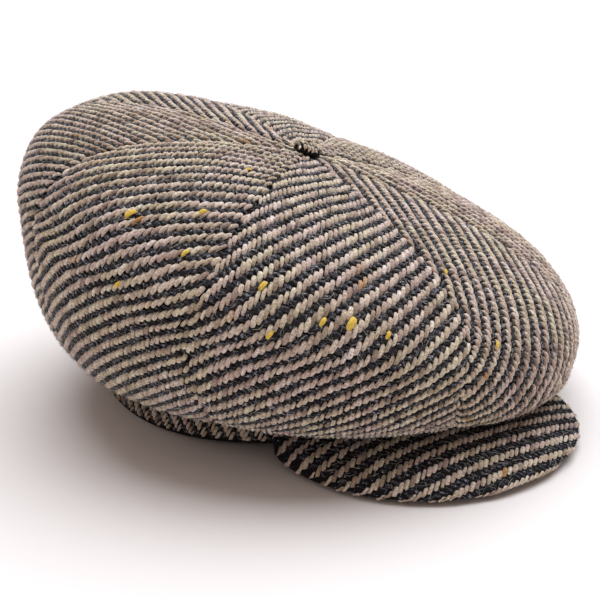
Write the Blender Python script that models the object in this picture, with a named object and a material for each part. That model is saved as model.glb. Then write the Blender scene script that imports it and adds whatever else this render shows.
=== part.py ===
"""Eight-panel tweed cap, at rest on its rim.

Metres, +Z up. The peak points to -Y and the wearer's right is -X. The soft crown
has slumped forward and to the wearer's left, over a level headband and peak.
"""
import math

import bpy
import numpy as np

# Head opening: the outside of the headband at its rim
RIM_LENGTH = 0.2054
RIM_WIDTH = 0.1726

# Headband: a cloth band, a little lower at the front than at the back
BAND_WALL = 0.0026
BAND_HEIGHT_BACK = 0.0268
BAND_HEIGHT_FRONT = 0.0206
BAND_ARCH = 0.0115

# Crown: the fullest line is a loose circle round the button's axis
CROWN_RADIUS = 0.1355
CROWN_RISE = 0.0488
CROWN_MID_OVER_BAND = 0.0412
CROWN_SHIFT_LEFT = -0.0040
CROWN_SHIFT_BACK = 0.0053
CROWN_TILT_FORWARD = math.radians(12.3)
CROWN_TILT_LEFT = math.radians(14.2)
CLOTH = 0.0023

# Where the fullest line hangs less than FOLD_REACH over the band, the cloth folds
# under it and sags by up to FOLD_SAG before it turns back to the band
FOLD_REACH = 0.0280
FOLD_SAG = 0.0052

# Exponents of the crown's section: shoulder, flat top, tuck under, drop to the band
SHOULDER = 2.5
FLAT_TOP = 2.85
TUCK_UNDER = 2.7
UNDER_LEVEL = 0.86

# How far a panel swells between its seams, as a share of its own width there
PANEL_SWELL = 0.026
SWELL_FADE = 0.8

# Covered button
BUTTON_RADIUS = 0.0072
BUTTON_HEIGHT = 0.0048
BUTTON_HOLE = 0.0032
BUTTON_SHOULDER = 0.6

# Peak: a stiffened crescent, sewn to the band's arched front edge
PEAK_DEPTH = 0.0550
PEAK_THICK = 0.0045
PEAK_HALF_ANGLE = math.radians(50.0)
PEAK_TURN_LEFT = math.radians(8.0)
PEAK_SPREAD = 0.50
PEAK_FULLNESS = 2.6
PEAK_CORNER = 1.65
PEAK_CROWN = 0.0022
PEAK_EDGE_LIFT = 0.0004
PEAK_LEFT_LIFT = 0.0045
PEAK_BLUNT = 0.006

# Space left between neighbouring pieces
GAP = 0.0003

# Small step, in radians and in stations, over which a slope is measured
PROBE = 0.002

# Fineness of the meshes
PANEL_ACROSS = 6
PANEL_ALONG = 22
BAND_SEGMENTS = 72
PEAK_ACROSS = 28
PEAK_ALONG = 5
EDGE_STEPS = 4
BUTTON_SIDES = 16
BUTTON_RINGS = 4

# The eight seams, from the front round by the wearer's left: how far the fullest
# line stands out (a share of CROWN_RADIUS) and rises (a share of CROWN_RISE)
SEAMS = (
    # name, reach, lift
    ("front", 1.094, 0.047),
    ("front_left", 1.094, 0.074),
    ("left", 1.039, -0.047),
    ("back_left", 0.997, -0.074),
    ("back", 0.956, 0.047),
    ("back_right", 0.906, 0.074),
    ("right", 0.911, -0.047),
    ("front_right", 1.003, -0.074),
)
REACH = np.array([row[1] for row in SEAMS])
LIFT = np.array([row[2] for row in SEAMS])
PANELS = len(SEAMS)
PANEL_ANGLE = math.tau / PANELS
HARMONICS = (PANELS - 1) // 2


def clear_scene():
    """Remove whatever the scene holds."""
    for old in list(bpy.data.objects):
        bpy.data.objects.remove(old, do_unlink=True)


def tweed(name, colour, roughness=0.95):
    """A matt wool cloth of one mean colour."""
    material = bpy.data.materials.new(name)
    material.use_nodes = True
    shader = material.node_tree.nodes["Principled BSDF"]
    shader.inputs["Base Color"].default_value = (*colour, 1.0)
    shader.inputs["Roughness"].default_value = roughness
    shader.inputs["Metallic"].default_value = 0.0
    return material


def add_object(name, vertices, faces, material):
    """One named, smooth-shaded object from points and faces."""
    mesh = bpy.data.meshes.new(name)
    mesh.from_pydata([tuple(map(float, v)) for v in vertices], [], faces)
    mesh.materials.append(material)
    mesh.shade_smooth()
    mesh.set_sharp_from_angle(angle=math.radians(50))
    piece = bpy.data.objects.new(name, mesh)
    bpy.context.collection.objects.link(piece)
    return piece


def skin(rows, columns, offset=0, flip=False, closed=False):
    """Quads over a grid of rows x columns points, optionally closed along the rows."""
    faces = []
    for i in range(rows if closed else rows - 1):
        for j in range(columns - 1):
            a = offset + i * columns + j
            b = offset + ((i + 1) % rows) * columns + j
            quad = (a, b, b + 1, a + 1)
            faces.append(quad[::-1] if flip else quad)
    return faces


def around(values, angle):
    """Smooth closed curve through the eight seam values."""
    total = np.full_like(angle, values.mean())
    places = PANEL_ANGLE * np.arange(PANELS)
    for k in range(1, HARMONICS + 1):
        cosine = 2.0 / PANELS * np.dot(values, np.cos(k * places))
        sine = 2.0 / PANELS * np.dot(values, np.sin(k * places))
        total = total + cosine * np.cos(k * angle) + sine * np.sin(k * angle)
    return total


def band_top(y):
    """Height of the headband's top edge, which slopes down to the front."""
    middle = 0.5 * (BAND_HEIGHT_BACK + BAND_HEIGHT_FRONT)
    slope = (BAND_HEIGHT_BACK - BAND_HEIGHT_FRONT) / RIM_LENGTH
    return middle + slope * y


def band_bottom(angle):
    """Height of the headband's bottom edge: flat, but arched over the peak."""
    return BAND_ARCH * np.clip(np.cos(angle), 0.0, 1.0) ** 2


def rim(angle, inset=0.0):
    """Point of the rim's oval, an angle round from the front by the wearer's left."""
    x = (0.5 * RIM_WIDTH - inset) * np.sin(angle)
    y = -(0.5 * RIM_LENGTH - inset) * np.cos(angle)
    return x, y


def tilted(points):
    """Put points of the upright crown where the slumped crown is."""
    fore, side = CROWN_TILT_FORWARD, CROWN_TILT_LEFT
    forward = np.array(((1, 0, 0),
                        (0, math.cos(fore), -math.sin(fore)),
                        (0, math.sin(fore), math.cos(fore))))
    leftward = np.array(((math.cos(side), 0, math.sin(side)),
                         (0, 1, 0),
                         (-math.sin(side), 0, math.cos(side))))
    middle = 0.5 * (BAND_HEIGHT_BACK + BAND_HEIGHT_FRONT) + CROWN_MID_OVER_BAND
    return points @ (leftward @ forward).T + (CROWN_SHIFT_LEFT, CROWN_SHIFT_BACK, middle)


def crown_surface(angle, station):
    """Outside of the crown: station 0 is the button, 1 the fullest line, 2 the band."""
    reach = CROWN_RADIUS * around(REACH, angle)
    lift = CROWN_RISE * around(LIFT, angle)
    over = 0.5 * math.pi * np.clip(station, 0.0, 1.0)
    out = np.sin(over) ** (2.0 / SHOULDER)
    up = np.cos(over) ** (2.0 / FLAT_TOP)
    top = np.stack((reach * np.sin(angle) * out,
                    -reach * np.cos(angle) * out,
                    lift + (CROWN_RISE - lift) * up), axis=-1)
    world = tilted(top)
    under = np.clip(station - 1.0, 0.0, 1.0)
    inward = 1.0 - np.cos(0.5 * math.pi * under) ** (2.0 / TUCK_UNDER)
    down = np.sin(0.5 * math.pi * np.clip(under / UNDER_LEVEL, 0.0, 1.0))
    rim_x, rim_y = rim(angle, BAND_WALL)
    x = world[..., 0] + (rim_x - world[..., 0]) * inward
    y = world[..., 1] + (rim_y - world[..., 1]) * inward
    seat = band_top(y) + GAP
    lowness = np.clip(1.0 - (world[..., 2] - seat) / FOLD_REACH, 0.0, 1.2)
    sag = FOLD_SAG * lowness * np.sin(math.pi * np.clip(under / UNDER_LEVEL, 0.0, 1.0))
    z = world[..., 2] + (seat - world[..., 2]) * down - sag
    return np.stack((x, y, z), axis=-1)


def outward(angle, station):
    """Unit normal of the crown's outside."""
    low = np.clip(station - PROBE, 0.0, 2.0)
    high = np.clip(station + PROBE, 0.0, 2.0)
    along = crown_surface(angle, high) - crown_surface(angle, low)
    round_it = crown_surface(angle + PROBE, station) - crown_surface(angle - PROBE, station)
    normal = np.cross(along, round_it)
    return normal / np.linalg.norm(normal, axis=-1, keepdims=True)


def make_panel(number, material):
    """One cloth panel between two seams, a wall with its edges square."""
    first_out = (BUTTON_HOLE / CROWN_RADIUS) ** (0.5 * SHOULDER)
    first = math.asin(first_out) / (0.5 * math.pi)
    station = np.linspace(first, 2.0, PANEL_ALONG + 1)[None, :]
    across = np.linspace(0.0, 1.0, PANEL_ACROSS + 1)[:, None]
    start = np.full_like(station, number * PANEL_ANGLE)
    axis = crown_surface(start, np.zeros_like(station))
    radius = np.linalg.norm(crown_surface(start, station) - axis, axis=-1)
    radius = np.minimum(radius, 0.5 * RIM_WIDTH)
    trim = 0.5 * GAP / radius
    angle = number * PANEL_ANGLE + trim + across * (PANEL_ANGLE - 2.0 * trim)
    station = np.broadcast_to(station, angle.shape)
    normal = outward(angle, station)
    fade = np.sin(0.5 * math.pi * np.clip((2.0 - station) / SWELL_FADE, 0.0, 1.0))
    swell = PANEL_SWELL * PANEL_ANGLE * radius * np.sin(math.pi * across) * fade
    outside = crown_surface(angle, station) + normal * swell[..., None]
    inside = outside - normal * CLOTH
    rows, columns = angle.shape
    count = rows * columns
    vertices = np.concatenate((outside.reshape(-1, 3), inside.reshape(-1, 3)))
    faces = skin(rows, columns, flip=True) + skin(rows, columns, offset=count)
    for j in range(columns - 1):
        last = (rows - 1) * columns + j
        faces.append((j + 1, j, count + j, count + j + 1))
        faces.append((last, last + 1, count + last + 1, count + last))
    for i in range(rows - 1):
        near, far = i * columns, (i + 1) * columns
        end_near, end_far = near + columns - 1, far + columns - 1
        faces.append((near, far, count + far, count + near))
        faces.append((end_far, end_near, count + end_near, count + end_far))
    return add_object(f"crown_panel_{number + 1}", vertices, faces, material)


def make_button(material):
    """The cloth-covered button on the middle of the crown."""
    turn = math.tau * np.arange(BUTTON_SIDES) / BUTTON_SIDES
    rings = []
    for step in range(BUTTON_RINGS):
        lean = 0.5 * math.pi * step / BUTTON_RINGS
        radius = BUTTON_RADIUS * math.cos(lean) ** BUTTON_SHOULDER
        height = CROWN_RISE + GAP + BUTTON_HEIGHT * math.sin(lean)
        rings.append(np.stack((radius * np.sin(turn), -radius * np.cos(turn),
                               np.full_like(turn, height)), axis=-1))
    grid = tilted(np.stack(rings, axis=1))
    top = tilted(np.array([[0.0, 0.0, CROWN_RISE + GAP + BUTTON_HEIGHT]]))
    vertices = np.concatenate((grid.reshape(-1, 3), top))
    faces = skin(BUTTON_SIDES, BUTTON_RINGS, closed=True)
    apex = len(vertices) - 1
    last = BUTTON_RINGS - 1
    for i in range(BUTTON_SIDES):
        after = (i + 1) % BUTTON_SIDES
        faces.append((i * BUTTON_RINGS + last, after * BUTTON_RINGS + last, apex))
    faces.append(tuple(i * BUTTON_RINGS for i in reversed(range(BUTTON_SIDES))))
    return add_object("crown_button", vertices, faces, material)


def make_headband(material):
    """The band round the head opening, level at its rim and arched at the front."""
    angle = math.tau * np.arange(BAND_SEGMENTS) / BAND_SEGMENTS
    corners = []
    for inset, at_top in ((0.0, False), (0.0, True), (BAND_WALL, True), (BAND_WALL, False)):
        x, y = rim(angle, inset)
        z = band_top(y) if at_top else band_bottom(angle)
        corners.append(np.stack((x, y, z), axis=-1))
    ring = len(corners)
    grid = np.stack(corners, axis=1)
    faces = []
    for i in range(BAND_SEGMENTS):
        after = (i + 1) % BAND_SEGMENTS
        for j in range(ring):
            k = (j + 1) % ring
            faces.append((i * ring + j, after * ring + j, after * ring + k, i * ring + k))
    return add_object("headband", grid.reshape(-1, 3), faces, material)


def peak_section(share):
    """Outline of the peak at one place across it, from -1 (right) to 1 (left)."""
    angle = PEAK_TURN_LEFT + PEAK_HALF_ANGLE * share
    base_x, base_y = rim(angle, -GAP)
    ahead = np.array((PEAK_SPREAD * share + math.sin(PEAK_TURN_LEFT), -1.0))
    ahead = ahead / np.linalg.norm(ahead)
    length = PEAK_DEPTH * (1.0 - abs(share) ** PEAK_FULLNESS) ** (1.0 / PEAK_CORNER)
    half = 0.5 * PEAK_THICK
    start = band_bottom(angle) + half
    end = half + PEAK_EDGE_LIFT + PEAK_LEFT_LIFT * (0.5 + 0.5 * share) ** 2
    flat = max(length - half, 0.25 * half)

    def point(along, above):
        way = min(along / max(length, half), 1.0)
        bow = PEAK_CROWN * (length / PEAK_DEPTH) * 4.0 * way * (1.0 - way)
        height = start + (end - start) * way + bow + above
        return (base_x + ahead[0] * along, base_y + ahead[1] * along, height)

    steps = [flat * j / PEAK_ALONG for j in range(PEAK_ALONG + 1)]
    outline = [point(along, half) for along in steps]
    for j in range(1, EDGE_STEPS):
        lean = math.pi * (0.5 - j / EDGE_STEPS)
        outline.append(point(flat + half * math.cos(lean), half * math.sin(lean)))
    outline += [point(along, -half) for along in reversed(steps)]
    return outline


def make_peak(material):
    """The stiffened, cloth-covered peak with a rounded edge."""
    spread = [(1.0 - PEAK_BLUNT) * math.sin(0.5 * math.pi * (2.0 * i / PEAK_ACROSS - 1.0))
              for i in range(PEAK_ACROSS + 1)]
    sections = [peak_section(share) for share in spread]
    ring = len(sections[0])
    vertices = [point for section in sections for point in section]
    faces = []
    for i in range(PEAK_ACROSS):
        for j in range(ring):
            k = (j + 1) % ring
            faces.append((i * ring + j, i * ring + k, (i + 1) * ring + k, (i + 1) * ring + j))
    faces.append(tuple(reversed(range(ring))))
    last = PEAK_ACROSS * ring
    faces.append(tuple(last + j for j in range(ring)))
    return add_object("peak", vertices, faces, material)


def centre_on_floor(pieces):
    """Move the finished pieces so that the middle of their foot is the origin."""
    points = np.array([tuple(v.co) for piece in pieces for v in piece.data.vertices])
    low, high = points.min(axis=0), points.max(axis=0)
    middle = (0.5 * (low[0] + high[0]), 0.5 * (low[1] + high[1]), low[2])
    for piece in pieces:
        for vertex in piece.data.vertices:
            vertex.co = [vertex.co[axis] - middle[axis] for axis in range(3)]
        piece.data.update()


def build():
    """Make every piece of the cap."""
    clear_scene()
    crown_cloth = tweed("crown_tweed", (0.215, 0.175, 0.140))
    button_cloth = tweed("button_tweed", (0.130, 0.105, 0.090))
    band_cloth = tweed("band_tweed", (0.165, 0.130, 0.105))
    peak_cloth = tweed("peak_tweed", (0.200, 0.170, 0.130))
    pieces = [make_panel(number, crown_cloth) for number in range(PANELS)]
    pieces.append(make_button(button_cloth))
    pieces.append(make_headband(band_cloth))
    pieces.append(make_peak(peak_cloth))
    centre_on_floor(pieces)


build()
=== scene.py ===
"""The looks of an eight-panel tweed cap: woven yarns, cloth walls, peak, band and light.

Metres, +Z up. The peak points to -Y and the wearer's right is -X. Each panel's cloth has
its own flat map: U across from the panel's middle line, V along it from the button, slipped
and crowded as the cloth hangs. The twill is laid out on that map and carried to the panel.
"""
import math

import bpy
import numpy as np
from mathutils import Matrix, Vector


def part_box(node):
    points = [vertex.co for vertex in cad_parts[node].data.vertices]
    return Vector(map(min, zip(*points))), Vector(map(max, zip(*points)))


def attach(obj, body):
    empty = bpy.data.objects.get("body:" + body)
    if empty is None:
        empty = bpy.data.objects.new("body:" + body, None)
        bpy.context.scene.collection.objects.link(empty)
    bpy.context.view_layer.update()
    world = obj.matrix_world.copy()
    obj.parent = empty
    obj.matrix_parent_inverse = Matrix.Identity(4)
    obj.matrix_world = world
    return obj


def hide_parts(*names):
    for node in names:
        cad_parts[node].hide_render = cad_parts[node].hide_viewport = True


MM = 0.001

# Head opening and headband, as the frame has them
RIM_LENGTH = 205.4 * MM
RIM_WIDTH = 172.6 * MM
BAND_WALL = 2.6 * MM
BAND_HEIGHT_BACK = 26.8 * MM
BAND_HEIGHT_FRONT = 20.6 * MM
BAND_ARCH = 11.5 * MM

# Slumped crown, as the frame has it
CROWN_RADIUS = 135.5 * MM
CROWN_RISE = 48.8 * MM
CROWN_MID_OVER_BAND = 41.2 * MM
CROWN_SHIFT = (-4.0 * MM, 5.3 * MM)
CROWN_TILT_FORWARD = math.radians(12.3)
CROWN_TILT_LEFT = math.radians(14.2)
CLOTH = 2.3 * MM
FOLD_REACH = 28.0 * MM
FOLD_SAG = 5.2 * MM
SHOULDER = 2.5
FLAT_TOP = 2.85
TUCK_UNDER = 2.7
UNDER_LEVEL = 0.86
PANEL_SWELL = 0.026
SWELL_FADE = 0.8
GAP = 0.3 * MM

# Covered button
BUTTON_RADIUS = 7.2 * MM
BUTTON_HEIGHT = 4.8 * MM
BUTTON_HOLE = 3.2 * MM
BUTTON_SHOULDER = 0.6

# Peak
PEAK_DEPTH = 55.0 * MM
PEAK_THICK = 4.5 * MM
PEAK_HALF_ANGLE = math.radians(50.0)
PEAK_TURN_LEFT = math.radians(8.0)
PEAK_SPREAD = 0.50
PEAK_FULLNESS = 2.6
PEAK_CORNER = 1.65
PEAK_CROWN = 2.2 * MM
PEAK_EDGE_LIFT = 0.4 * MM
PEAK_LEFT_LIFT = 4.5 * MM
PEAK_BLUNT = 0.006

# The eight seams from the front round by the wearer's left: how far the fullest line
# stands out (a share of CROWN_RADIUS) and rises (a share of CROWN_RISE)
SEAMS = (
    # name, reach, lift
    ("front", 1.094, 0.047),
    ("front_left", 1.094, 0.074),
    ("left", 1.039, -0.047),
    ("back_left", 0.997, -0.074),
    ("back", 0.956, 0.047),
    ("back_right", 0.906, 0.074),
    ("right", 0.911, -0.047),
    ("front_right", 1.003, -0.074),
)
REACH = np.array([row[1] for row in SEAMS])
LIFT = np.array([row[2] for row in SEAMS])
PANELS = len(SEAMS)
PANEL_ANGLE = math.tau / PANELS
HARMONICS = (PANELS - 1) // 2

# Seams pull the cloth into a narrow valley, between two soft rolls
SEAM_DEPTH = 0.35 * MM
SEAM_REACH = 1.3 * MM
ROLL_HEIGHT = 0.3 * MM
ROLL_PLACE = 5.0 * MM
ROLL_WIDTH = 0.6 * ROLL_PLACE
DENT = 0.5 * MM

# Past the seams: how far the yarns' sheet and the wall lap over, how steeply the sheet
# tucks under, and how far beyond the seam a yarn's middle may lie
SEAM_LAP = 5.5 * MM
SEAM_ALLOWANCE = 0.6 * MM
SEAM_TUCK = 0.5
SEAM_CLEAR = -0.4 * MM

# Yarns: pale and dark floats, and the loose fibres over them; how far a float drifts from
# its place, how much it sways, how its three sizes vary, and the share of its length,
# from its middle, that has to have cloth under it
PALE_LENGTH = 8.2 * MM
PALE_WIDTH = 2.15 * MM
PALE_HEIGHT = 1.7 * MM
DARK_TURN = math.radians(78.0)
DARK_LENGTH = 6.4 * MM
DARK_WIDTH = 2.6 * MM
DARK_HEIGHT = 1.3 * MM
HAIR_LENGTH = 4.4 * MM
HAIR_WIDTH = 0.2 * MM
HAIR_SPACING = 3.1 * MM
FLOAT_DRIFT = 0.27 * MM
FLOAT_SWAY = math.radians(4.0)
FLOAT_LEAST = (0.86, 0.74, 0.78)
FLOAT_MOST = (1.12, 1.2, 1.3)
FLOAT_HOLD = 0.35

# Depths under the cap's outside: the yarns' sheet, dark floats under that, and the wall
YARN_SINK = 0.75 * MM
DARK_SINK = 0.35 * MM
GROUND_SINK = 1.5 * MM
PEAK_GROUND_SINK = 0.9 * MM
BUTTON_GROUND_SINK = 0.8 * MM
BUTTON_YARN_SINK = 0.3 * MM
FLOOR_CLEAR = 1.3 * MM

# Twills: pale floats stand side by side along each diagonal line (the wale). Turn of the
# wale and of the floats, from V towards U; wale to wale; float to float; clear of the edge
CROWN_TWILL = (math.radians(140.0), math.radians(170.0), 6.1 * MM, 3.35 * MM, SEAM_CLEAR)
BAND_TWILL = (math.radians(150.0), math.radians(22.0), 6.4 * MM, 2.3 * MM, 0.3 * MM)
PEAK_TWILL = (math.radians(88.0), math.radians(52.0), 7.6 * MM, 2.9 * MM, 0.2 * MM)
BUTTON_TWILL = (math.radians(120.0), 0.0, 3.66 * MM, 2.01 * MM, SEAM_CLEAR)
BAND_LAP = 5.0 * MM

# Length and width of each twill's yarns, as shares of the plain ones
CROWN_YARN = (1.0, 1.0)
BAND_YARN = (0.8, 0.8)
PEAK_YARN = (1.1, 0.88)
BUTTON_YARN = (0.6, 0.65)

# Fixed seeds of the random draws; the last two are added for dark floats and fibres
PANEL_SEED = 3
PANEL_SEED_STEP = 11
BAND_SEED = 301
PEAK_SEED = 501
BUTTON_SEED = 701
DARK_SEED = 20
HAIR_SEED = 40

# How the cloth lies on a panel, which is counted from 0 here: how much its cross lines
# bend towards the seams, and at places from the button how far it slips sideways and how
# closely its wales crowd
BEND = {0: 2.0, 6: 0.6}
PLAIN_BEND = 0.15
LIE = {
    # panel: (place in mm, slip, crowding), ...
    0: ((0.0, 0.0, 1.0), (115.0, 0.08, 1.0), (135.0, 0.0, 1.0), (155.0, -0.3, 0.9)),
    5: ((70.0, 0.0, 1.0), (90.0, 0.3, 1.2), (100.0, 0.4, 1.35), (120.0, 0.4, 1.4)),
    6: ((50.0, 0.0, 1.0), (70.0, -0.29, 1.0), (90.0, -0.25, 1.0), (100.0, -0.04, 1.0),
        (140.0, 0.04, 1.0), (150.0, 0.15, 1.45), (160.0, 0.15, 1.35), (175.0, 0.2, 1.4)),
}
PLAIN_LIE = ((0.0, 0.0, 1.0), (148.0, 0.0, 1.0), (160.0, 0.1, 1.35), (170.0, 0.2, 1.6),
             (180.0, 0.2, 1.6))

# Mustard slubs: their turn, their length, width and height as shares of their size, and
# where each one is, with panels counted from 0
SLUB_TURN = math.radians(-158.0)
SLUB_SHAPE = (2.1, 0.9, 0.55)
SLUB_LIFT = 0.05 * MM
SLUBS = (
    # panel, place across (a share), station, size in mm
    (6, 0.554, 0.706, 2.9),
    (6, 0.814, 0.539, 2.3),
    (7, 0.194, 0.731, 2.4),
    (7, 0.529, 0.774, 3.3),
    (7, 0.429, 0.799, 2.1),
    (7, 0.269, 0.904, 2.0),
    (7, 0.663, 0.787, 1.9),
    (6, 0.865, 0.731, 2.0),
    (6, 0.672, 0.960, 1.9),
    (0, 0.060, 0.471, 1.8),
    (6, 0.747, 0.248, 1.8),
    (0, 0.127, 0.774, 1.9),
)

# Fineness of the grids
ACROSS_STEPS = 32
ALONG_STEPS = 96
WALL_FINENESS = 0.62
BAND_STEPS = 144
BAND_RISE_STEPS = 8
PEAK_PLACES = 73
PEAK_FLAT_STEPS = 26
PEAK_EDGE_STEPS = 8
BUTTON_SIDES = 32
BUTTON_RINGS = 10
PROBE = 0.001
CREASE = math.radians(50.0)

# Camera, worked out from the cap's outline and seams
CAMERA_DISTANCE = 589.0 * MM
CAMERA_TURN = math.radians(-33.9)
CAMERA_RISE = math.radians(18.1)
CAMERA_LENS = 73.6
CAMERA_SENSOR = 36.0
CAMERA_AIM = (6.2 * MM, -10.8 * MM, 50.0 * MM)

# Studio: a pale floor that reaches past every view, a warm surround, and one broad light
FLOOR_HALF = 30.0
SURROUND_COLOUR = (1.0, 0.83, 0.77, 1.0)
SURROUND_STRENGTH = 0.43
KEY_STRENGTH = 3.8
KEY_SPREAD = math.radians(75.0)
KEY_COLOUR = (0.95, 1.0, 1.06)
KEY_HEADING = (-0.36, -0.28, -0.95)

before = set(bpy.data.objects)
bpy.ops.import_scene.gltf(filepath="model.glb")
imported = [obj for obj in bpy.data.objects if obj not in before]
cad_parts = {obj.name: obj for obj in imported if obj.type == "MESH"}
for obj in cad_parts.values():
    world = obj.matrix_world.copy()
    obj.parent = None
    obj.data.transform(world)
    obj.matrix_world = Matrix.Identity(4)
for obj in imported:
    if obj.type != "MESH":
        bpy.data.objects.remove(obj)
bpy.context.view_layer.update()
BAND_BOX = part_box("headband")
CENTRE = np.array([0.5 * (BAND_BOX[0][0] + BAND_BOX[1][0]),
                   0.5 * (BAND_BOX[0][1] + BAND_BOX[1][1]), 0.0])


def around(values, angle):
    """Smooth closed curve through the eight seam values."""
    total = np.full_like(angle, values.mean())
    places = PANEL_ANGLE * np.arange(PANELS)
    for k in range(1, HARMONICS + 1):
        cosine = 2.0 / PANELS * np.dot(values, np.cos(k * places))
        sine = 2.0 / PANELS * np.dot(values, np.sin(k * places))
        total = total + cosine * np.cos(k * angle) + sine * np.sin(k * angle)
    return total


def band_top(y):
    """Height of the headband's top edge, which slopes down to the front."""
    middle = 0.5 * (BAND_HEIGHT_BACK + BAND_HEIGHT_FRONT)
    return middle + (BAND_HEIGHT_BACK - BAND_HEIGHT_FRONT) / RIM_LENGTH * y


def band_bottom(angle):
    """Height of the headband's bottom edge: flat, but arched over the peak."""
    return BAND_ARCH * np.clip(np.cos(angle), 0.0, 1.0) ** 2


def rim(angle, inset=0.0):
    """Point of the rim's oval, an angle round from the front by the wearer's left."""
    return ((0.5 * RIM_WIDTH - inset) * np.sin(angle),
            -(0.5 * RIM_LENGTH - inset) * np.cos(angle))


def tilted(points):
    """Put points of the upright crown where the slumped crown is."""
    fore, side = CROWN_TILT_FORWARD, CROWN_TILT_LEFT
    forward = np.array(((1, 0, 0),
                        (0, math.cos(fore), -math.sin(fore)),
                        (0, math.sin(fore), math.cos(fore))))
    leftward = np.array(((math.cos(side), 0, math.sin(side)),
                         (0, 1, 0),
                         (-math.sin(side), 0, math.cos(side))))
    middle = 0.5 * (BAND_HEIGHT_BACK + BAND_HEIGHT_FRONT) + CROWN_MID_OVER_BAND
    return points @ (leftward @ forward).T + (*CROWN_SHIFT, middle)


def crown_surface(angle, station):
    """Outside of the crown: station 0 is the button, 1 the fullest line, 2 the band."""
    reach = CROWN_RADIUS * around(REACH, angle)
    lift = CROWN_RISE * around(LIFT, angle)
    over = 0.5 * math.pi * np.clip(station, 0.0, 1.0)
    out = np.sin(over) ** (2.0 / SHOULDER)
    up = np.cos(over) ** (2.0 / FLAT_TOP)
    top = np.stack((reach * np.sin(angle) * out,
                    -reach * np.cos(angle) * out,
                    lift + (CROWN_RISE - lift) * up), axis=-1)
    world = tilted(top)
    under = np.clip(station - 1.0, 0.0, 1.0)
    inward = 1.0 - np.cos(0.5 * math.pi * under) ** (2.0 / TUCK_UNDER)
    down = np.sin(0.5 * math.pi * np.clip(under / UNDER_LEVEL, 0.0, 1.0))
    rim_x, rim_y = rim(angle, BAND_WALL)
    x = world[..., 0] + (rim_x - world[..., 0]) * inward
    y = world[..., 1] + (rim_y - world[..., 1]) * inward
    seat = band_top(y) + GAP
    lowness = np.clip(1.0 - (world[..., 2] - seat) / FOLD_REACH, 0.0, 1.2)
    sag = FOLD_SAG * lowness * np.sin(math.pi * np.clip(under / UNDER_LEVEL, 0.0, 1.0))
    z = world[..., 2] + (seat - world[..., 2]) * down - sag
    return np.stack((x, y, z), axis=-1)


def grid_normals(points):
    """Unit normals of a grid of points, from its two directions."""
    along = np.gradient(points, axis=1)
    across = np.gradient(points, axis=0)
    normal = np.cross(along, across)
    length = np.linalg.norm(normal, axis=-1, keepdims=True)
    return normal / np.maximum(length, 1e-12)


def panel_surface(number, angle, station):
    """A panel's outside with its swell, rolls, dents and seam valleys, its normals, and
    how far each point is from the nearer seam."""
    points = crown_surface(angle, station)
    normal = grid_normals(points)
    across = (angle - number * PANEL_ANGLE) / PANEL_ANGLE
    width = np.linalg.norm(crown_surface(angle + PROBE, station)
                           - crown_surface(angle - PROBE, station), axis=-1) / (2.0 * PROBE)
    fade = np.sin(0.5 * math.pi * np.clip((2.0 - station) / SWELL_FADE, 0.0, 1.0))
    bulge = np.sin(math.pi * np.clip(across, 0.0, 1.0)) * fade
    from_seam = np.minimum(across, 1.0 - across) * PANEL_ANGLE * width
    rise = PANEL_SWELL * PANEL_ANGLE * np.minimum(width, 0.5 * RIM_WIDTH) * bulge
    rise = rise - SEAM_DEPTH * np.exp(-(np.maximum(from_seam, 0.0) / SEAM_REACH) ** 2)
    rise = rise + ROLL_HEIGHT * fade * np.exp(-((from_seam - ROLL_PLACE) / ROLL_WIDTH) ** 2)
    rise = rise + DENT * bulge * (np.sin(5.0 * angle + 9.0 * station + number)
                                  * np.sin(11.0 * angle - 5.0 * station + 2.0 * number))
    rise = rise + SEAM_TUCK * np.minimum(from_seam, 0.0)
    points = points + normal * rise[..., None]
    return points + CENTRE, grid_normals(points), from_seam


def panel_grid(number, lap=0.0, fineness=1.0):
    """A panel's outside, its normals, its flat cloth map and how far each point is
    from the seams, on one grid that may lap over them."""
    first_out = (BUTTON_HOLE / CROWN_RADIUS) ** (0.5 * SHOULDER)
    first = math.asin(first_out) / (0.5 * math.pi)
    station = np.linspace(first, 2.0, int(fineness * ALONG_STEPS) + 1)[None, :]
    turn = np.linspace(0.0, math.pi, int(fineness * ACROSS_STEPS) + 1)
    across = (0.5 - 0.5 * np.cos(turn))[:, None]
    start = np.full_like(station, number * PANEL_ANGLE)
    axis = crown_surface(start, np.zeros_like(station))
    radius = np.linalg.norm(crown_surface(start, station) - axis, axis=-1)
    radius = np.minimum(radius, 0.5 * RIM_WIDTH)
    trim = 0.5 * GAP / radius - lap / np.maximum(radius, lap)
    angle = number * PANEL_ANGLE + trim + across * (PANEL_ANGLE - 2.0 * trim)
    station = np.broadcast_to(station, angle.shape)
    points, normal, from_seam = panel_surface(number, angle, station)
    return points, normal, cloth_map(number, angle, station), from_seam


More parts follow.
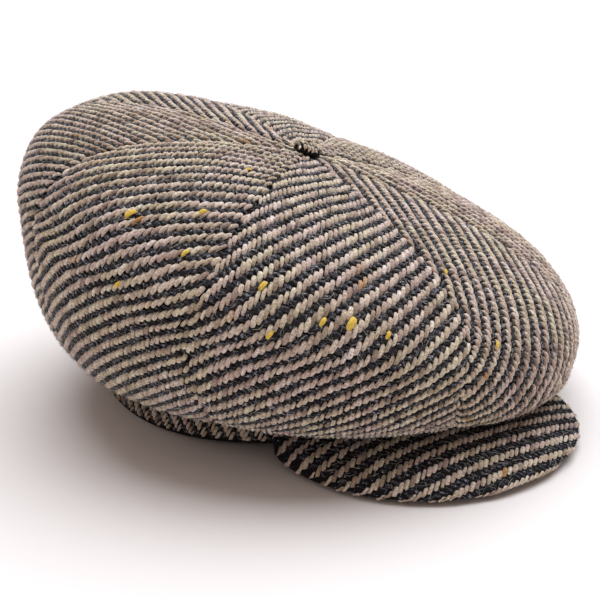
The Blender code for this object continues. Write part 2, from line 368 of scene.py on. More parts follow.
def cloth_map(number, angle, station):
    """Flat map of a panel: across from its middle line, and along it from the button,
    with the cloth's slip and its bent cross lines."""
    middle = (number + 0.5) * PANEL_ANGLE
    fine = np.linspace(0.0, 2.0, 600)
    line = crown_surface(np.full_like(fine, middle), fine)
    steps = np.linalg.norm(np.diff(line, axis=0), axis=1)
    run = np.concatenate(([0.0], np.cumsum(steps)))
    left = crown_surface(np.full_like(fine, middle - PROBE), fine)
    right = crown_surface(np.full_like(fine, middle + PROBE), fine)
    girth = np.linalg.norm(right - left, axis=1) / (2.0 * PROBE)
    bend = np.gradient(girth, run) / np.maximum(girth, MM)
    places, slips, crowds = np.array(LIE.get(number, PLAIN_LIE)).T
    slip = np.interp(run, places * MM, slips)
    crowd = np.interp(run, places * MM, crowds)
    slid = np.concatenate(([0.0], np.cumsum(0.5 * (slip[1:] + slip[:-1]) * steps)))
    laid = np.concatenate(([0.0], np.cumsum(0.5 * (crowd[1:] + crowd[:-1]) * steps)))
    across = np.interp(station, fine, girth) * (angle - middle)
    along = np.interp(station, fine, laid)
    bent = np.interp(station, fine, bend * crowd)
    droop = BEND.get(number, PLAIN_BEND) * bent * 0.5 * across ** 2
    return np.stack((across + np.interp(station, fine, slid), along - droop), axis=-1)


def srgb(code):
    """Linear colour of an sRGB hex code."""
    parts = [int(code[i:i + 2], 16) / 255.0 for i in (1, 3, 5)]
    linear = [p / 12.92 if p <= 0.04045 else ((p + 0.055) / 1.055) ** 2.4 for p in parts]
    return (*linear, 1.0)


def pick(sockets, key):
    """The enabled socket of a name, or the socket at a place."""
    if isinstance(key, int):
        return sockets[key]
    return next(socket for socket in sockets if socket.name == key and socket.enabled)


def add(tree, kind, settings=None, inputs=None):
    """Add a node with its settings, and set or link its inputs."""
    node = tree.nodes.new(kind)
    for name, value in (settings or {}).items():
        setattr(node, name, value)
    for key, value in (inputs or {}).items():
        socket = pick(node.inputs, key)
        if isinstance(value, bpy.types.NodeSocket):
            tree.links.new(value, socket)
        else:
            socket.default_value = value
    return node


def new_material(name, roughness, sheen=0.0):
    """An empty Principled material: its tree and its shader."""
    material = bpy.data.materials.new(name)
    material.use_nodes = True
    tree = material.node_tree
    shader = tree.nodes["Principled BSDF"]
    shader.inputs["Roughness"].default_value = roughness
    shader.inputs["IOR"].default_value = 1.54
    shader.inputs["Specular IOR Level"].default_value = 0.25
    shader.inputs["Sheen Weight"].default_value = sheen
    shader.inputs["Sheen Roughness"].default_value = 0.6
    return material, tree, shader


def ramp(tree, factor, stops):
    """A colour ramp through (place, hex colour) stops."""
    node = add(tree, "ShaderNodeValToRGB", inputs={0: factor})
    elements = node.color_ramp.elements
    while len(elements) < len(stops):
        elements.new(0.5)
    for element, (place, code) in zip(elements, stops):
        element.position = place
        element.color = srgb(code)
    return node.outputs["Color"]


def woolly(tree, per_mm, stops, strength, depth):
    """Mottled fibre colour, so many patches to the millimetre, and a bump of the same."""
    spot = add(tree, "ShaderNodeTexCoord")
    fibre = add(tree, "ShaderNodeTexNoise", inputs={
        "Vector": spot.outputs["Object"], "Scale": per_mm / MM, "Detail": 3.0,
        "Roughness": 0.65})
    bump = add(tree, "ShaderNodeBump", inputs={
        "Strength": strength, "Distance": depth, "Height": fibre.outputs[0]})
    return ramp(tree, fibre.outputs[0], stops), bump.outputs["Normal"]


def wear(tree, shader, colour, normal=None):
    """Give a shader its colour and, where there is one, its bump."""
    tree.links.new(colour, shader.inputs["Base Color"])
    if normal:
        tree.links.new(normal, shader.inputs["Normal"])


def pale_wool():
    """Cream wool yarn, woollen spun: soft, matt, each float a little different in tone,
    in lots that lean to yellow or to rose, with rare ochre and rust floats."""
    material, tree, shader = new_material("cream_woollen_yarn", 0.95, 0.3)
    tone = add(tree, "ShaderNodeAttribute", {"attribute_name": "tone"})
    colour = ramp(tree, tone.outputs["Fac"], (
        (0.0, "#A08C80"), (0.1, "#C4B1A1"), (0.35, "#D9C9B8"), (0.8, "#E7DACB"),
        (0.983, "#F1E9DE"), (0.987, "#D6A640"), (0.99, "#A8664C"), (0.994, "#F6F2EC")))
    shade, normal = woolly(tree, 1.1, (
        (0.32, "#6E625C"), (0.5, "#D2CCC6"), (0.62, "#FFFFFF")), 0.8, 0.35 * MM)
    spot = add(tree, "ShaderNodeTexCoord")
    lot = add(tree, "ShaderNodeTexNoise", inputs={
        "Vector": spot.outputs["Object"], "Scale": 0.045 / MM, "Detail": 2.0})
    tint = ramp(tree, lot.outputs[0], ((0.4, "#FFFFF0"), (0.6, "#FFF7FA")))
    for factor, layer in ((0.72, shade), (1.0, tint)):
        mixed = add(tree, "ShaderNodeMix", {"data_type": "RGBA", "blend_type": "MULTIPLY"},
                    {"Factor": factor, "A": colour, "B": layer})
        colour = pick(mixed.outputs, "Result")
    wear(tree, shader, colour, normal)
    return material


def dark_wool():
    """Black wool yarn with slate-blue and pale fibres carded into it: matt, furry and
    speckled. The specks are drawn as coarse as they need to be seen."""
    material, tree, shader = new_material("black_woollen_yarn", 1.0, 0.15)
    colour, normal = woolly(tree, 0.7, (
        (0.36, "#050303"), (0.5, "#0F0B0C"), (0.55, "#26242B"), (0.62, "#6B6F7C"),
        (0.7, "#BDBDC2")), 1.0, 0.6 * MM)
    wear(tree, shader, colour, normal)
    return material


def gold_wool():
    """Mustard-dyed wool caught unspun in the yarn: a bright, matt, fibrous lump."""
    material, tree, shader = new_material("mustard_wool_slub", 0.95, 0.1)
    colour, normal = woolly(tree, 1.8, (
        (0.35, "#C29A2C"), (0.5, "#E3C04A"), (0.65, "#F2DC7C")), 0.9, 0.4 * MM)
    wear(tree, shader, colour, normal)
    return material


def loose_wool():
    """Loose fibres standing off the cloth: slate blue, grey and cream, each one colour."""
    material, tree, shader = new_material("loose_wool_fibre", 0.8, 0.1)
    tone = add(tree, "ShaderNodeAttribute", {"attribute_name": "tone"})
    colour = ramp(tree, tone.outputs["Fac"], (
        (0.0, "#2E2D34"), (0.25, "#5F6472"), (0.5, "#9496A0"), (0.75, "#C0B8AC"),
        (1.0, "#E6E1D8")))
    wear(tree, shader, colour)
    return material


def ground_wool_and_shade():
    """The cloth between the floats: black wool, its colour kept near black as painted shade in
    the gaps between the yarns, with a fine felted grain.
    """
    material, tree, shader = new_material("felted_wool_ground_and_painted_shade", 1.0)
    # Near-black stops: partly the black wool, partly painted shade in the gaps between the
    # floats
    colour, normal = woolly(tree, 1.4, (
        (0.35, "#060607"), (0.55, "#121014"), (0.75, "#2C2A30")), 0.7, 0.3 * MM)
    wear(tree, shader, colour, normal)
    return material


def reverse_twill():
    """The wrong side of the woven tweed: flat diagonal stripes of cream and black wool,
    as far apart as the wales. The wave repeats every tau / 20 of its scaled vector."""
    material, tree, shader = new_material("woven_tweed_reverse", 0.95, 0.1)
    wale, _, pitch, _, _ = CROWN_TWILL
    spot = add(tree, "ShaderNodeUVMap", {"uv_map": "cloth"})
    turned = add(tree, "ShaderNodeMapping", inputs={
        "Vector": spot.outputs["UV"], "Rotation": (0.0, 0.0, wale)})
    wave = add(tree, "ShaderNodeTexWave", {"bands_direction": "X"}, {
        "Vector": turned.outputs["Vector"], "Scale": math.tau / (20.0 * pitch),
        "Distortion": 1.2, "Detail": 3.0, "Detail Scale": 4.0})
    colour = ramp(tree, wave.outputs[0], ((0.3, "#26242A"), (0.5, "#5D5148"), (0.7, "#B39E86")))
    bump = add(tree, "ShaderNodeBump", inputs={
        "Strength": 0.7, "Distance": 0.5 * MM, "Height": wave.outputs[0]})
    wear(tree, shader, colour, bump.outputs["Normal"])
    return material


def new_object(name, mesh):
    """Link a mesh into the scene under a name."""
    mesh.name = name
    piece = bpy.data.objects.new(name, mesh)
    bpy.context.scene.collection.objects.link(piece)
    return piece


def grid_faces(rows, columns, offset=0, flip=False, closed=False):
    """Quads over a grid of rows x columns points, optionally closed along the rows."""
    i = np.arange(rows if closed else rows - 1)[:, None]
    j = np.arange(columns - 1)[None, :]
    a = offset + i * columns + j
    b = offset + ((i + 1) % rows) * columns + j
    quads = np.stack((a, b, b + 1, a + 1), axis=-1).reshape(-1, 4)
    return quads[:, ::-1] if flip else quads


def add_uv(mesh, name, values):
    """Give every corner the map value of its vertex."""
    layer = mesh.uv_layers.new(name=name)
    corners = np.empty(len(mesh.loops), dtype=np.int32)
    mesh.loops.foreach_get("vertex_index", corners)
    layer.uv.foreach_set("vector", values[corners].astype(np.float32).ravel())


def make_guide(points, normals, cloth, edge=None):
    """A temporary sheet that carries the weave: its map, its outward direction, and
    how far inside the piece's own edges it is."""
    rows, columns = points.shape[:2]
    mesh = bpy.data.meshes.new("guide")
    mesh.from_pydata(points.reshape(-1, 3).tolist(), [],
                     grid_faces(rows, columns, flip=True).tolist())
    add_uv(mesh, "cloth", cloth.reshape(-1, 2))
    out = mesh.attributes.new("out", "FLOAT_VECTOR", "POINT")
    out.data.foreach_set("vector", normals.astype(np.float32).ravel())
    inside = mesh.attributes.new("inside", "FLOAT", "POINT")
    edge = np.full(points.shape[:2], 1.0) if edge is None else edge
    inside.data.foreach_set("value", edge.astype(np.float32).ravel())
    return new_object("guide", mesh)


def bridge(first, second, third, fourth):
    """Quads between four rows of vertex numbers."""
    return np.stack((first, second, third, fourth), axis=-1)


def make_skin(name, outer, inner, cloth, faces, materials):
    """A closed wall from its outside, its inside and its faces: the first two groups of
    faces are the outside and the inside, and each has its own material."""
    mesh = bpy.data.meshes.new(name)
    vertices = np.concatenate((outer.reshape(-1, 3), inner.reshape(-1, 3)))
    mesh.from_pydata(vertices.tolist(), [], np.concatenate(faces).tolist())
    add_uv(mesh, "cloth", np.concatenate((cloth.reshape(-1, 2),) * 2))
    for material in materials:
        mesh.materials.append(material)
    side = np.zeros(len(mesh.polygons), dtype=np.int32)
    side[len(faces[0]):len(faces[0]) + len(faces[1])] = 1
    mesh.polygons.foreach_set("material_index", side)
    mesh.shade_smooth()
    mesh.set_sharp_from_angle(angle=CREASE)
    return new_object(name, mesh)


def make_wall(name, outer, normals, cloth, materials, thickness):
    """A closed wall of cloth: an outside, an inside, and square edges."""
    rows, columns = outer.shape[:2]
    count = rows * columns
    inner = outer - normals * thickness
    faces = [grid_faces(rows, columns, flip=True), grid_faces(rows, columns, offset=count)]
    first = np.arange(columns - 1)
    last = (rows - 1) * columns + first
    faces.append(bridge(first + 1, first, count + first, count + first + 1))
    faces.append(bridge(last, last + 1, count + last + 1, count + last))
    near = np.arange(rows - 1) * columns
    far = near + columns
    faces.append(bridge(near, far, count + far, count + near))
    near, far = near + columns - 1, far + columns - 1
    faces.append(bridge(far, near, count + near, count + far))
    return make_skin(name, outer, inner, cloth, faces, materials)


def make_float(name, length, width, height, sides, rings):
    """One visible stretch of yarn, lying along X: plump, narrowing to a third of its width
    and diving by its own height at both ends."""
    place = np.linspace(-1.0, 1.0, rings)
    plump = np.clip(1.0 - np.abs(place) ** 3.2, 0.0, 1.0) * 0.65 + 0.35
    dive = -1.1 * height * np.abs(place) ** 2.6
    turn = math.tau * (np.arange(sides) + 0.25 * (sides % 2 == 0)) / sides
    x = np.broadcast_to((0.5 * length * place)[:, None], (rings, sides))
    y = 0.5 * width * plump[:, None] * np.sin(turn)
    z = 0.5 * height * plump[:, None] * np.cos(turn) + dive[:, None]
    vertices = np.stack((x, y, z), axis=-1).reshape(-1, 3)
    faces = []
    for i in range(rings - 1):
        near, far = i * sides, (i + 1) * sides
        faces += [(near + j, near + (j + 1) % sides, far + (j + 1) % sides, far + j)
                  for j in range(sides)]
    faces.append(tuple(range(sides))[::-1])
    faces.append(tuple((rings - 1) * sides + j for j in range(sides)))
    mesh = bpy.data.meshes.new(name)
    mesh.from_pydata(vertices.tolist(), [], faces)
    mesh.shade_smooth()
    return new_object(name, mesh)


def make_hair(name, length, width):
    """One loose fibre along X: a thin three-sided arc that tapers and lifts to one end."""
    rings, sides = 3, 3
    place = np.linspace(0.0, 1.0, rings)
    turn = math.tau * np.arange(sides) / sides
    thick = 0.5 * width * (1.0 - 0.7 * place)
    x = np.broadcast_to((length * (place - 0.5))[:, None], (rings, sides))
    y = thick[:, None] * np.sin(turn) + (0.22 * length * np.sin(2.6 * place))[:, None]
    z = thick[:, None] * np.cos(turn) + (0.26 * length * place ** 1.5)[:, None]
    faces = [(i * sides + j, i * sides + (j + 1) % sides,
              (i + 1) * sides + (j + 1) % sides, (i + 1) * sides + j)
             for i in range(rings - 1) for j in range(sides)]
    faces.append(tuple(range(sides))[::-1])
    faces.append(tuple((rings - 1) * sides + j for j in range(sides)))
    mesh = bpy.data.meshes.new(name)
    mesh.from_pydata(np.stack((x, y, z), axis=-1).reshape(-1, 3).tolist(), [], faces)
    mesh.shade_smooth()
    return new_object(name, mesh)


def yarn_set(length, width):
    """A pale float, a dark float and a loose fibre, by shares of the plain size."""
    return (make_float("pale_float", length * PALE_LENGTH, width * PALE_WIDTH,
                       width * PALE_HEIGHT, 5, 5),
            make_float("dark_float", length * DARK_LENGTH, width * DARK_WIDTH,
                       width * DARK_HEIGHT, 4, 4),
            make_hair("loose_fibre", HAIR_LENGTH, HAIR_WIDTH))


def discard(*pieces):
    """Take temporary objects out of the scene."""
    for piece in pieces:
        bpy.data.objects.remove(piece, do_unlink=True)


def vector_math(tree, operation, first, second):
    """Result of one vector operation."""
    node = add(tree, "ShaderNodeVectorMath", {"operation": operation}, {0: first, 1: second})
    return node.outputs["Vector"]


def weave_tree():
    """Geometry Nodes: yarns laid out on the cloth's own flat map, then carried over to
    the guide's surface point by point, so that each yarn bends with the cloth."""
    tree = bpy.data.node_groups.new("woven_floats", "GeometryNodeTree")
    ports = (("Guide", "NodeSocketGeometry"), ("Yarn", "NodeSocketObject"),
             ("Wool", "NodeSocketMaterial"), ("Columns", "NodeSocketInt"),
             ("Rows", "NodeSocketInt"), ("Start", "NodeSocketVector"),
             ("Along", "NodeSocketVector"), ("Over", "NodeSocketVector"),
             ("Lie", "NodeSocketFloat"), ("Lie Spread", "NodeSocketFloat"),
             ("Half", "NodeSocketFloat"), ("Loose", "NodeSocketFloat"),
             ("Clear", "NodeSocketFloat"), ("Sink", "NodeSocketFloat"),
             ("Seed", "NodeSocketInt"))
    for name, kind in ports:
        tree.interface.new_socket(name, in_out="INPUT", socket_type=kind)
    tree.interface.new_socket("Floats", in_out="OUTPUT", socket_type="NodeSocketGeometry")
    given = add(tree, "NodeGroupInput").outputs
    here = add(tree, "GeometryNodeInputPosition").outputs[0]

    def maths(operation, first, second):
        return add(tree, "ShaderNodeMath", {"operation": operation},
                   {0: first, 1: second}).outputs[0]

    def scaled(vector, factor):
        return add(tree, "ShaderNodeVectorMath", {"operation": "SCALE"},
                   {0: vector, "Scale": factor}).outputs[0]

    def chance(kind, low, high, shift):
        node = add(tree, "FunctionNodeRandomValue", {"data_type": kind}, {
            "Min": low, "Max": high, "Seed": maths("ADD", given["Seed"], float(shift))})
        return pick(node.outputs, "Value")

    def named(name, kind):
        return add(tree, "GeometryNodeInputNamedAttribute", {"data_type": kind},
                   {"Name": name}).outputs["Attribute"]

    def sample(value, where, kind="FLOAT_VECTOR"):
        return add(tree, "GeometryNodeSampleUVSurface", {"data_type": kind},
                   {"Mesh": given["Guide"], "Value": value,
                    "UV Map": named("cloth", "FLOAT_VECTOR"), "Sample UV": where})

    lattice = add(tree, "GeometryNodeMeshGrid", inputs={
        "Size X": maths("SUBTRACT", given["Columns"], 1.0),
        "Size Y": maths("SUBTRACT", given["Rows"], 1.0),
        "Vertices X": given["Columns"], "Vertices Y": given["Rows"]})
    points = add(tree, "GeometryNodeMeshToPoints", inputs={"Mesh": lattice.outputs["Mesh"]})
    place = add(tree, "ShaderNodeSeparateXYZ", inputs={0: here})
    step = vector_math(tree, "ADD", scaled(given["Along"], place.outputs["X"]),
                       scaled(given["Over"], place.outputs["Y"]))
    drift = scaled(chance("FLOAT_VECTOR", (-1.0, -1.0, 0.0), (1.0, 1.0, 0.0), 1),
                   given["Loose"])
    flat = add(tree, "GeometryNodeSetPosition", inputs={
        "Geometry": points.outputs[0],
        "Position": vector_math(tree, "ADD", vector_math(tree, "ADD", given["Start"], step),
                                drift)})
    ends = add(tree, "ShaderNodeCombineXYZ", inputs={
        "X": maths("MULTIPLY", maths("COSINE", given["Lie"], 0.0), given["Half"]),
        "Y": maths("MULTIPLY", maths("SINE", given["Lie"], 0.0), given["Half"])}).outputs[0]
    inside = pick(sample(named("inside", "FLOAT"), here, "FLOAT").outputs, "Value")
    clear = add(tree, "FunctionNodeCompare", {"data_type": "FLOAT", "operation": "GREATER_THAN"},
                {"A": inside, "B": given["Clear"]}).outputs[0]
    valid = clear
    for end in (vector_math(tree, "ADD", here, ends), vector_math(tree, "SUBTRACT", here, ends)):
        valid = add(tree, "FunctionNodeBooleanMath", {"operation": "AND"},
                    {0: valid, 1: sample(here, end).outputs["Is Valid"]}).outputs[0]
    kept = add(tree, "GeometryNodeDeleteGeometry", {"domain": "POINT"}, {
        "Geometry": flat.outputs[0],
        "Selection": add(tree, "FunctionNodeBooleanMath", {"operation": "NOT"},
                         {0: valid}).outputs[0]})
    spread = maths("MULTIPLY", chance("FLOAT", -1.0, 1.0, 2), given["Lie Spread"])
    lie = add(tree, "ShaderNodeCombineXYZ", inputs={"Z": maths("ADD", given["Lie"], spread)})
    yarn = add(tree, "GeometryNodeObjectInfo", inputs={"Object": given["Yarn"]})
    floats = add(tree, "GeometryNodeInstanceOnPoints", inputs={
        "Points": kept.outputs[0], "Instance": yarn.outputs["Geometry"],
        "Rotation": lie.outputs[0],
        "Scale": chance("FLOAT_VECTOR", FLOAT_LEAST, FLOAT_MOST, 3)})
    toned = add(tree, "GeometryNodeStoreNamedAttribute",
                {"data_type": "FLOAT", "domain": "INSTANCE"},
                {"Geometry": floats.outputs[0], "Name": "tone",
                 "Value": chance("FLOAT", 0.0, 1.0, 4)})
    whole = add(tree, "GeometryNodeRealizeInstances", inputs={0: toned.outputs[0]})
    off = add(tree, "FunctionNodeBooleanMath", {"operation": "NOT"},
              {0: sample(here, here).outputs["Is Valid"]})
    real = add(tree, "GeometryNodeDeleteGeometry", {"domain": "POINT"}, {
        "Geometry": whole.outputs[0], "Selection": off.outputs[0]})
    height = maths("SUBTRACT", add(tree, "ShaderNodeSeparateXYZ", inputs={0: here}).outputs["Z"],
                   given["Sink"])
    out = add(tree, "ShaderNodeVectorMath", {"operation": "NORMALIZE"},
              {0: pick(sample(named("out", "FLOAT_VECTOR"), here).outputs, "Value")}).outputs[0]
    laid = add(tree, "GeometryNodeSetPosition", inputs={
        "Geometry": real.outputs[0],
        "Position": vector_math(tree, "ADD", pick(sample(here, here).outputs, "Value"),
                                scaled(out, height))})
    finished = add(tree, "GeometryNodeSetMaterial", inputs={
        "Geometry": laid.outputs[0], "Material": given["Wool"]})
    result = add(tree, "NodeGroupOutput")
    tree.links.new(finished.outputs[0], result.inputs[0])
    return tree


def weave(name, tree, guide, values):
    """Run the tree on a guide with named values, and keep the result as a plain mesh."""
    modifier = guide.modifiers.new("weave", "NODES")
    modifier.node_group = tree
    for item in tree.interface.items_tree:
        if item.item_type == "SOCKET" and item.in_out == "INPUT" and item.name in values:
            modifier[item.identifier] = values[item.name]
    depsgraph = bpy.context.evaluated_depsgraph_get()
    mesh = bpy.data.meshes.new_from_object(guide.evaluated_get(depsgraph), depsgraph=depsgraph)
    guide.modifiers.remove(modifier)
    return new_object(name, mesh)


def heading(turn, length):
    """A step on the cloth's map, turned from V towards U."""
    return (length * math.sin(turn), length * math.cos(turn), 0.0)


def lay_twill(name, tree, guide, cloth, yarns, wools, twill, seed,
              holds=(FLOAT_HOLD * PALE_LENGTH, FLOAT_HOLD * DARK_LENGTH)):
    """Pale floats, dark floats and loose fibres over one guide; returns the new pieces.
    A hold is how far from its middle a float still needs cloth under it."""
    wale, grain, pitch, step, clear = twill
    low, high = cloth.reshape(-1, 2).min(axis=0), cloth.reshape(-1, 2).max(axis=0)
    middle = 0.5 * (low + high)
    reach = float(np.linalg.norm(high - low))
    along = heading(wale, step)
    over = heading(wale + 0.5 * math.pi, pitch)
    start = (float(middle[0]), float(middle[1]), 0.0)
    beside = (start[0] + 0.5 * over[0], start[1] + 0.5 * over[1], 0.0)
    lie = 0.5 * math.pi - grain
    common = {"Columns": int(reach / step) + 3, "Rows": int(reach / pitch) + 3,
              "Along": along, "Over": over, "Loose": FLOAT_DRIFT, "Clear": clear,
              "Lie Spread": FLOAT_SWAY}
    pale = dict(common, Yarn=yarns[0], Wool=wools[0], Start=start, Sink=0.0, Lie=lie,
                Half=holds[0], Seed=seed)
    dark = dict(common, Yarn=yarns[1], Wool=wools[1], Start=beside, Sink=DARK_SINK,
                Lie=lie + DARK_TURN, Half=holds[1], Seed=seed + DARK_SEED)
    count = int(reach / HAIR_SPACING) + 3
    hair = dict(common, Yarn=yarns[2], Wool=wools[2], Start=start, Sink=0.0, Columns=count,
                Rows=count, Along=(HAIR_SPACING, 0.0, 0.0), Over=(0.0, HAIR_SPACING, 0.0),
                Loose=0.7 * HAIR_SPACING, Clear=max(clear, 0.0) + 0.3 * HAIR_LENGTH,
                Lie=0.0, Half=0.75 * HAIR_LENGTH, Seed=seed + HAIR_SEED)
    hair["Lie Spread"] = math.pi
    return [weave(f"{name}_{kind}", tree, guide, values)
            for kind, values in (("cream_yarn", pale), ("black_yarn", dark), ("fibres", hair))]


def finish_piece(piece, slot, *nodes):
    """Ride the body and stand for the nodes; the slot is not used."""
    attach(piece, "root")
    if nodes:
        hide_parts(*nodes)


def make_slubs(number, wool):
    """A panel's mustard slubs: short fat stretches of yarn, each at its own place."""
    points, faces = [], []
    for _, place, station, size in (row for row in SLUBS if row[0] == number):
        near = 10.0 * PROBE * np.array([-1.0, 0.0, 1.0])
        angle = (number + place) * PANEL_ANGLE + near[:, None] + 0.0 * near
        patch, normal, _ = panel_surface(number, angle, station + near + 0.0 * angle)
        up = normal[1, 1]
        along = patch[1, 2] - patch[1, 0]
        across = np.cross(along, up)
        along, across = along / np.linalg.norm(along), across / np.linalg.norm(across)
        lie = math.cos(SLUB_TURN) * along + math.sin(SLUB_TURN) * across
        length, width, height = (share * size * MM for share in SLUB_SHAPE)
        shape = make_float("slub", length, width, height, 8, 7)
        local = np.array([vertex.co for vertex in shape.data.vertices])
        axes = np.stack((lie, np.cross(up, lie), up))
        offset = len(points)
        points += (patch[1, 1] + SLUB_LIFT * up + local @ axes).tolist()
        faces += [tuple(offset + v for v in face.vertices) for face in shape.data.polygons]
        discard(shape)
    if not points:
        return []
    mesh = bpy.data.meshes.new("slubs")
    mesh.from_pydata(points, [], faces)
    mesh.materials.append(wool)
    mesh.shade_smooth()
    return [new_object(f"panel_{number + 1}_slubs", mesh)]


def make_crown(tree, wools, ground, reverse):
    """Eight panels: each a wall of cloth under its own twill."""
    yarns = yarn_set(*CROWN_YARN)
    slub_wool = gold_wool()
    for number in range(PANELS):
        node = f"crown_panel_{number + 1}"
        points, normals, cloth, _ = panel_grid(number, SEAM_ALLOWANCE, WALL_FINENESS)
        outer = points - normals * GROUND_SINK
        wall = make_wall(f"panel_{number + 1}_cloth", outer, normals, cloth,
                         (ground, reverse), CLOTH - GROUND_SINK)
        lapped, lap_normals, lap_cloth, edge = panel_grid(number, SEAM_LAP)
        guide = make_guide(lapped - lap_normals * YARN_SINK, lap_normals, lap_cloth, edge)
        floats = lay_twill(f"panel_{number + 1}", tree, guide, cloth, yarns, wools,
                           CROWN_TWILL, PANEL_SEED_STEP * number + PANEL_SEED)
        discard(guide)
        floats += make_slubs(number, slub_wool)
        finish_piece(wall, "crown_tweed", node)
        for piece in floats:
            finish_piece(piece, "crown_tweed", node)
    discard(*yarns)


def make_band(tree, wools, ground, reverse):
    """The headband: a level ring of cloth under its own twill."""
    angle = np.linspace(0.0, math.tau, BAND_STEPS + 1)[:, None]
    share = np.linspace(1.0, 0.0, BAND_RISE_STEPS + 1)[None, :]
    x, y = rim(angle)
    x, y = np.broadcast_arrays(x + 0.0 * share, y + 0.0 * share)
    low, high = band_bottom(angle), band_top(y[:, :1])
    z = low + (high - low) * share
    points = np.stack((x, y, z), axis=-1)
    normals = grid_normals(points)
    run = np.linalg.norm(np.diff(points[:, 0, :2], axis=0), axis=1)
    perimeter = np.concatenate(([0.0], np.cumsum(run)))[:, None]
    cloth = np.stack(np.broadcast_arrays(perimeter + 0.0 * share, z), axis=-1)
    points = points + CENTRE
    wall = make_band_wall(points, normals, cloth, (ground, reverse))
    sheet, outward, lapped = (np.concatenate((grid, grid[:, -1:]), axis=1)
                              for grid in (points, normals, cloth))
    sheet[:, -1] -= normals[:, -1] * BAND_LAP
    sheet[:, :, 2] = np.maximum(sheet[:, :, 2], low + FLOOR_CLEAR)
    lapped[:, -1, 1] -= BAND_LAP
    guide = make_guide(sheet - outward * YARN_SINK, outward, lapped, lapped[:, :, 1] - low)
    yarns = yarn_set(*BAND_YARN)
    floats = lay_twill("headband", tree, guide, lapped, yarns, wools, BAND_TWILL, BAND_SEED,
                       holds=(0.0, 0.0))
    discard(guide, *yarns)
    finish_piece(wall, "band_tweed", "headband")
    for piece in floats:
        finish_piece(piece, "band_tweed", "headband")


def make_band_wall(points, normals, cloth, materials):
    """The ring's wall, closed on itself."""
    outer = (points - normals * GROUND_SINK)[:-1]
    inner = (points - normals * BAND_WALL)[:-1]
    rows, columns = outer.shape[:2]
    count = rows * columns
    faces = [grid_faces(rows, columns, flip=True, closed=True),
             grid_faces(rows, columns, offset=count, closed=True)]
    row = np.arange(rows)
    near, far = row * columns, ((row + 1) % rows) * columns
    faces.append(bridge(near, far, count + far, count + near))
    near, far = near + columns - 1, far + columns - 1
    faces.append(bridge(far, near, count + near, count + far))
    return make_skin("headband_cloth", outer, inner, cloth[:-1], faces, materials)


def peak_outline(share, shrink):
    """Section of the peak at one place across it, from the cap out over the edge and back
    underneath; the cloth's run along it; and where and which way it starts."""
    angle = PEAK_TURN_LEFT + PEAK_HALF_ANGLE * share
    base_x, base_y = rim(np.array(angle), -GAP)
    ahead = np.array((PEAK_SPREAD * share + math.sin(PEAK_TURN_LEFT), -1.0))
    ahead = ahead / np.linalg.norm(ahead)
    length = PEAK_DEPTH * (1.0 - abs(share) ** PEAK_FULLNESS) ** (1.0 / PEAK_CORNER)
    half = 0.5 * PEAK_THICK
    start = float(band_bottom(np.array(angle))) + half
    end = half + PEAK_EDGE_LIFT + PEAK_LEFT_LIFT * (0.5 + 0.5 * share) ** 2
    flat = max(length - half, 0.25 * half)
    skin = half - shrink

    def point(along, above):
        way = min(along / max(length, half), 1.0)
        bow = PEAK_CROWN * (length / PEAK_DEPTH) * 4.0 * way * (1.0 - way)
        height = start + (end - start) * way + bow + above
        return (base_x + ahead[0] * along, base_y + ahead[1] * along, height)

    steps = [flat * j / PEAK_FLAT_STEPS for j in range(PEAK_FLAT_STEPS + 1)]
    outline = [point(along, skin) for along in steps]
    run = list(steps)
    for j in range(1, PEAK_EDGE_STEPS):
        lean = math.pi * (0.5 - j / PEAK_EDGE_STEPS)
        outline.append(point(flat + skin * math.cos(lean), skin * math.sin(lean)))
        run.append(flat + half * math.pi * j / PEAK_EDGE_STEPS)
    outline += [point(along, -skin) for along in reversed(steps)]
    run += [flat + half * math.pi + flat - along for along in reversed(steps)]
    return outline, run, (float(base_x), float(base_y)), ahead


def peak_grid(shrink):
    """The peak's whole outline at many places, and its cloth map."""
    middle = 0.5 * (PEAK_PLACES - 1)
    points, cloth = [], []
    for place in range(PEAK_PLACES):
        share = (1.0 - PEAK_BLUNT) * math.sin(0.5 * math.pi * (place / middle - 1.0))
        outline, run, base, ahead = peak_outline(share, shrink)
        points.append([tuple(map(float, point)) for point in outline])
        cloth.append([(base[0] + ahead[0] * way, base[1] + ahead[1] * way) for way in run])
    return np.array(points), np.array(cloth)


def make_peak(tree, wools, ground, reverse):
    """The stiffened peak: a closed cloth-covered form under twill, plain underneath."""
    points, cloth = peak_grid(PEAK_GROUND_SINK)
    points = points + CENTRE
    rows, ring = points.shape[:2]
    faces = [tuple(map(int, face)) for face in grid_faces(rows, ring, flip=True)]
    faces += [(i * ring + ring - 1, i * ring, (i + 1) * ring, (i + 1) * ring + ring - 1)
              for i in range(rows - 1)]
    faces.append(tuple(reversed(range(ring))))
    faces.append(tuple((rows - 1) * ring + j for j in range(ring)))
    mesh = bpy.data.meshes.new("peak_cloth")
    mesh.from_pydata(points.reshape(-1, 3).tolist(), [], faces)
    add_uv(mesh, "cloth", cloth.reshape(-1, 2))
    mesh.materials.append(ground)
    mesh.materials.append(reverse)
    half = ring // 2 + 2
    side = [int(j % (ring - 1) >= half) for _ in range(rows - 1) for j in range(ring - 1)]
    side += [0] * (len(faces) - len(side))
    mesh.polygons.foreach_set("material_index", side)
    mesh.shade_smooth()
    wall = new_object("peak_cloth", mesh)
    yarns = yarn_set(*PEAK_YARN)
    top, top_cloth = peak_grid(YARN_SINK)
    top, top_cloth = top[:, :half + 3] + CENTRE, top_cloth[:, :half + 3]
    guide = make_guide(top, grid_normals(top), top_cloth,
                       np.minimum(top[:, :, 2] - FLOOR_CLEAR, PEAK_THICK))
    floats = lay_twill("peak", tree, guide, top_cloth, yarns, wools, PEAK_TWILL, PEAK_SEED,
                       holds=(0.0, 0.0))
    discard(guide, *yarns)
    for piece in (wall, *floats):
        finish_piece(piece, "peak_tweed", "peak")


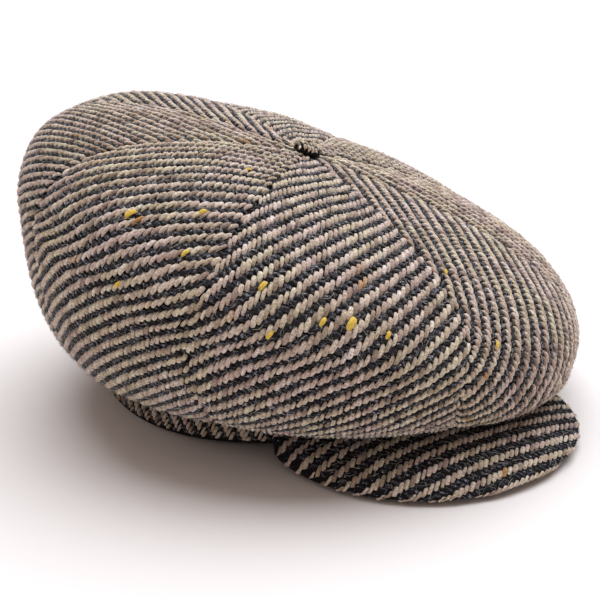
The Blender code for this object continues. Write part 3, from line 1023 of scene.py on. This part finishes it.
def make_button(tree, wools, ground):
    """The cloth-covered button: a low dome under a few floats."""
    sides, rings = BUTTON_SIDES, BUTTON_RINGS
    yarns = yarn_set(*BUTTON_YARN)
    turn = (math.tau * np.arange(sides + 1) / sides)[:, None]
    lean = (0.5 * math.pi * np.linspace(0.98, 0.0, rings))[None, :]
    radius = BUTTON_RADIUS * np.cos(lean) ** BUTTON_SHOULDER
    height = CROWN_RISE + GAP + BUTTON_HEIGHT * np.sin(lean) + 0.0 * turn
    points = tilted(np.stack((radius * np.sin(turn), -radius * np.cos(turn), height), axis=-1))
    normals = grid_normals(points)
    run = np.broadcast_to(radius, height.shape)
    cloth = np.stack((run * np.sin(turn), -run * np.cos(turn)), axis=-1)
    points = points + CENTRE
    shell = (points - normals * BUTTON_GROUND_SINK)[:-1]
    faces = [tuple(map(int, face))
             for face in grid_faces(sides, rings, flip=True, closed=True)]
    faces.append(tuple(i * rings for i in range(sides)))
    faces.append(tuple(i * rings + rings - 1 for i in reversed(range(sides))))
    mesh = bpy.data.meshes.new("button_cloth")
    mesh.from_pydata(shell.reshape(-1, 3).tolist(), [], faces)
    mesh.materials.append(ground)
    mesh.shade_smooth()
    button = new_object("button_cloth", mesh)
    guide = make_guide(points - normals * BUTTON_YARN_SINK, normals, cloth)
    floats = lay_twill("button", tree, guide, cloth, yarns, wools, BUTTON_TWILL, BUTTON_SEED,
                       holds=(0.0, 0.0))
    discard(guide, *yarns)
    for piece in (button, *floats):
        finish_piece(piece, "button_tweed", "crown_button")


def make_floor():
    """A plain pale floor of matt paper, hardly uneven in tone."""
    half = FLOOR_HALF
    mesh = bpy.data.meshes.new("floor")
    mesh.from_pydata([(-half, -half, 0), (half, -half, 0), (half, half, 0), (-half, half, 0)],
                     [], [(0, 1, 2, 3)])
    material, tree, shader = new_material("matt_paper_floor", 0.9)
    spot = add(tree, "ShaderNodeTexCoord")
    grain = add(tree, "ShaderNodeTexNoise", inputs={
        "Vector": spot.outputs["Object"], "Scale": 4.0})
    wear(tree, shader, ramp(tree, grain.outputs[0], ((0.3, "#E9E5E3"), (0.7, "#EBE7E5"))))
    mesh.materials.append(material)
    new_object("floor", mesh)


def make_light():
    """Soft studio light: a broad cool light high behind the right, and a warm surround."""
    world = bpy.data.worlds.new("studio")
    bpy.context.scene.world = world
    world.use_nodes = True
    background = world.node_tree.nodes["Background"]
    background.inputs["Color"].default_value = SURROUND_COLOUR
    background.inputs["Strength"].default_value = SURROUND_STRENGTH
    lamp = bpy.data.lights.new("key", "SUN")
    lamp.energy = KEY_STRENGTH
    lamp.angle = KEY_SPREAD
    lamp.color = KEY_COLOUR
    holder = bpy.data.objects.new("key", lamp)
    bpy.context.scene.collection.objects.link(holder)
    holder.rotation_euler = Vector(KEY_HEADING).to_track_quat("-Z", "Y").to_euler()


def make_camera():
    """The camera at the photograph's angle, a little over the cap's rim."""
    bpy.context.scene.view_settings.view_transform = "Standard"
    turn, rise = CAMERA_TURN, CAMERA_RISE
    back = Vector((math.sin(turn) * math.cos(rise), -math.cos(turn) * math.cos(rise),
                   math.sin(rise)))
    right = Vector((math.cos(turn), math.sin(turn), 0.0))
    up = back.cross(right)
    aim = Vector(CENTRE) + Vector((0.0, 0.0, CAMERA_AIM[2]))
    aim += right * CAMERA_AIM[0] + up * CAMERA_AIM[1]
    lens = bpy.data.cameras.new("camera")
    lens.lens = CAMERA_LENS
    lens.sensor_width = CAMERA_SENSOR
    holder = bpy.data.objects.new("camera", lens)
    bpy.context.scene.collection.objects.link(holder)
    turned = Matrix((right, up, back)).transposed().to_4x4()
    holder.matrix_world = Matrix.Translation(aim + back * CAMERA_DISTANCE) @ turned
    bpy.context.scene.camera = holder


def main():
    """Dress the cap."""
    make_camera()
    make_light()
    make_floor()
    wools = (pale_wool(), dark_wool(), loose_wool())
    ground, reverse = ground_wool_and_shade(), reverse_twill()
    tree = weave_tree()
    make_band(tree, wools, ground, reverse)
    make_crown(tree, wools, ground, reverse)
    make_peak(tree, wools, ground, reverse)
    make_button(tree, wools, ground)


main()
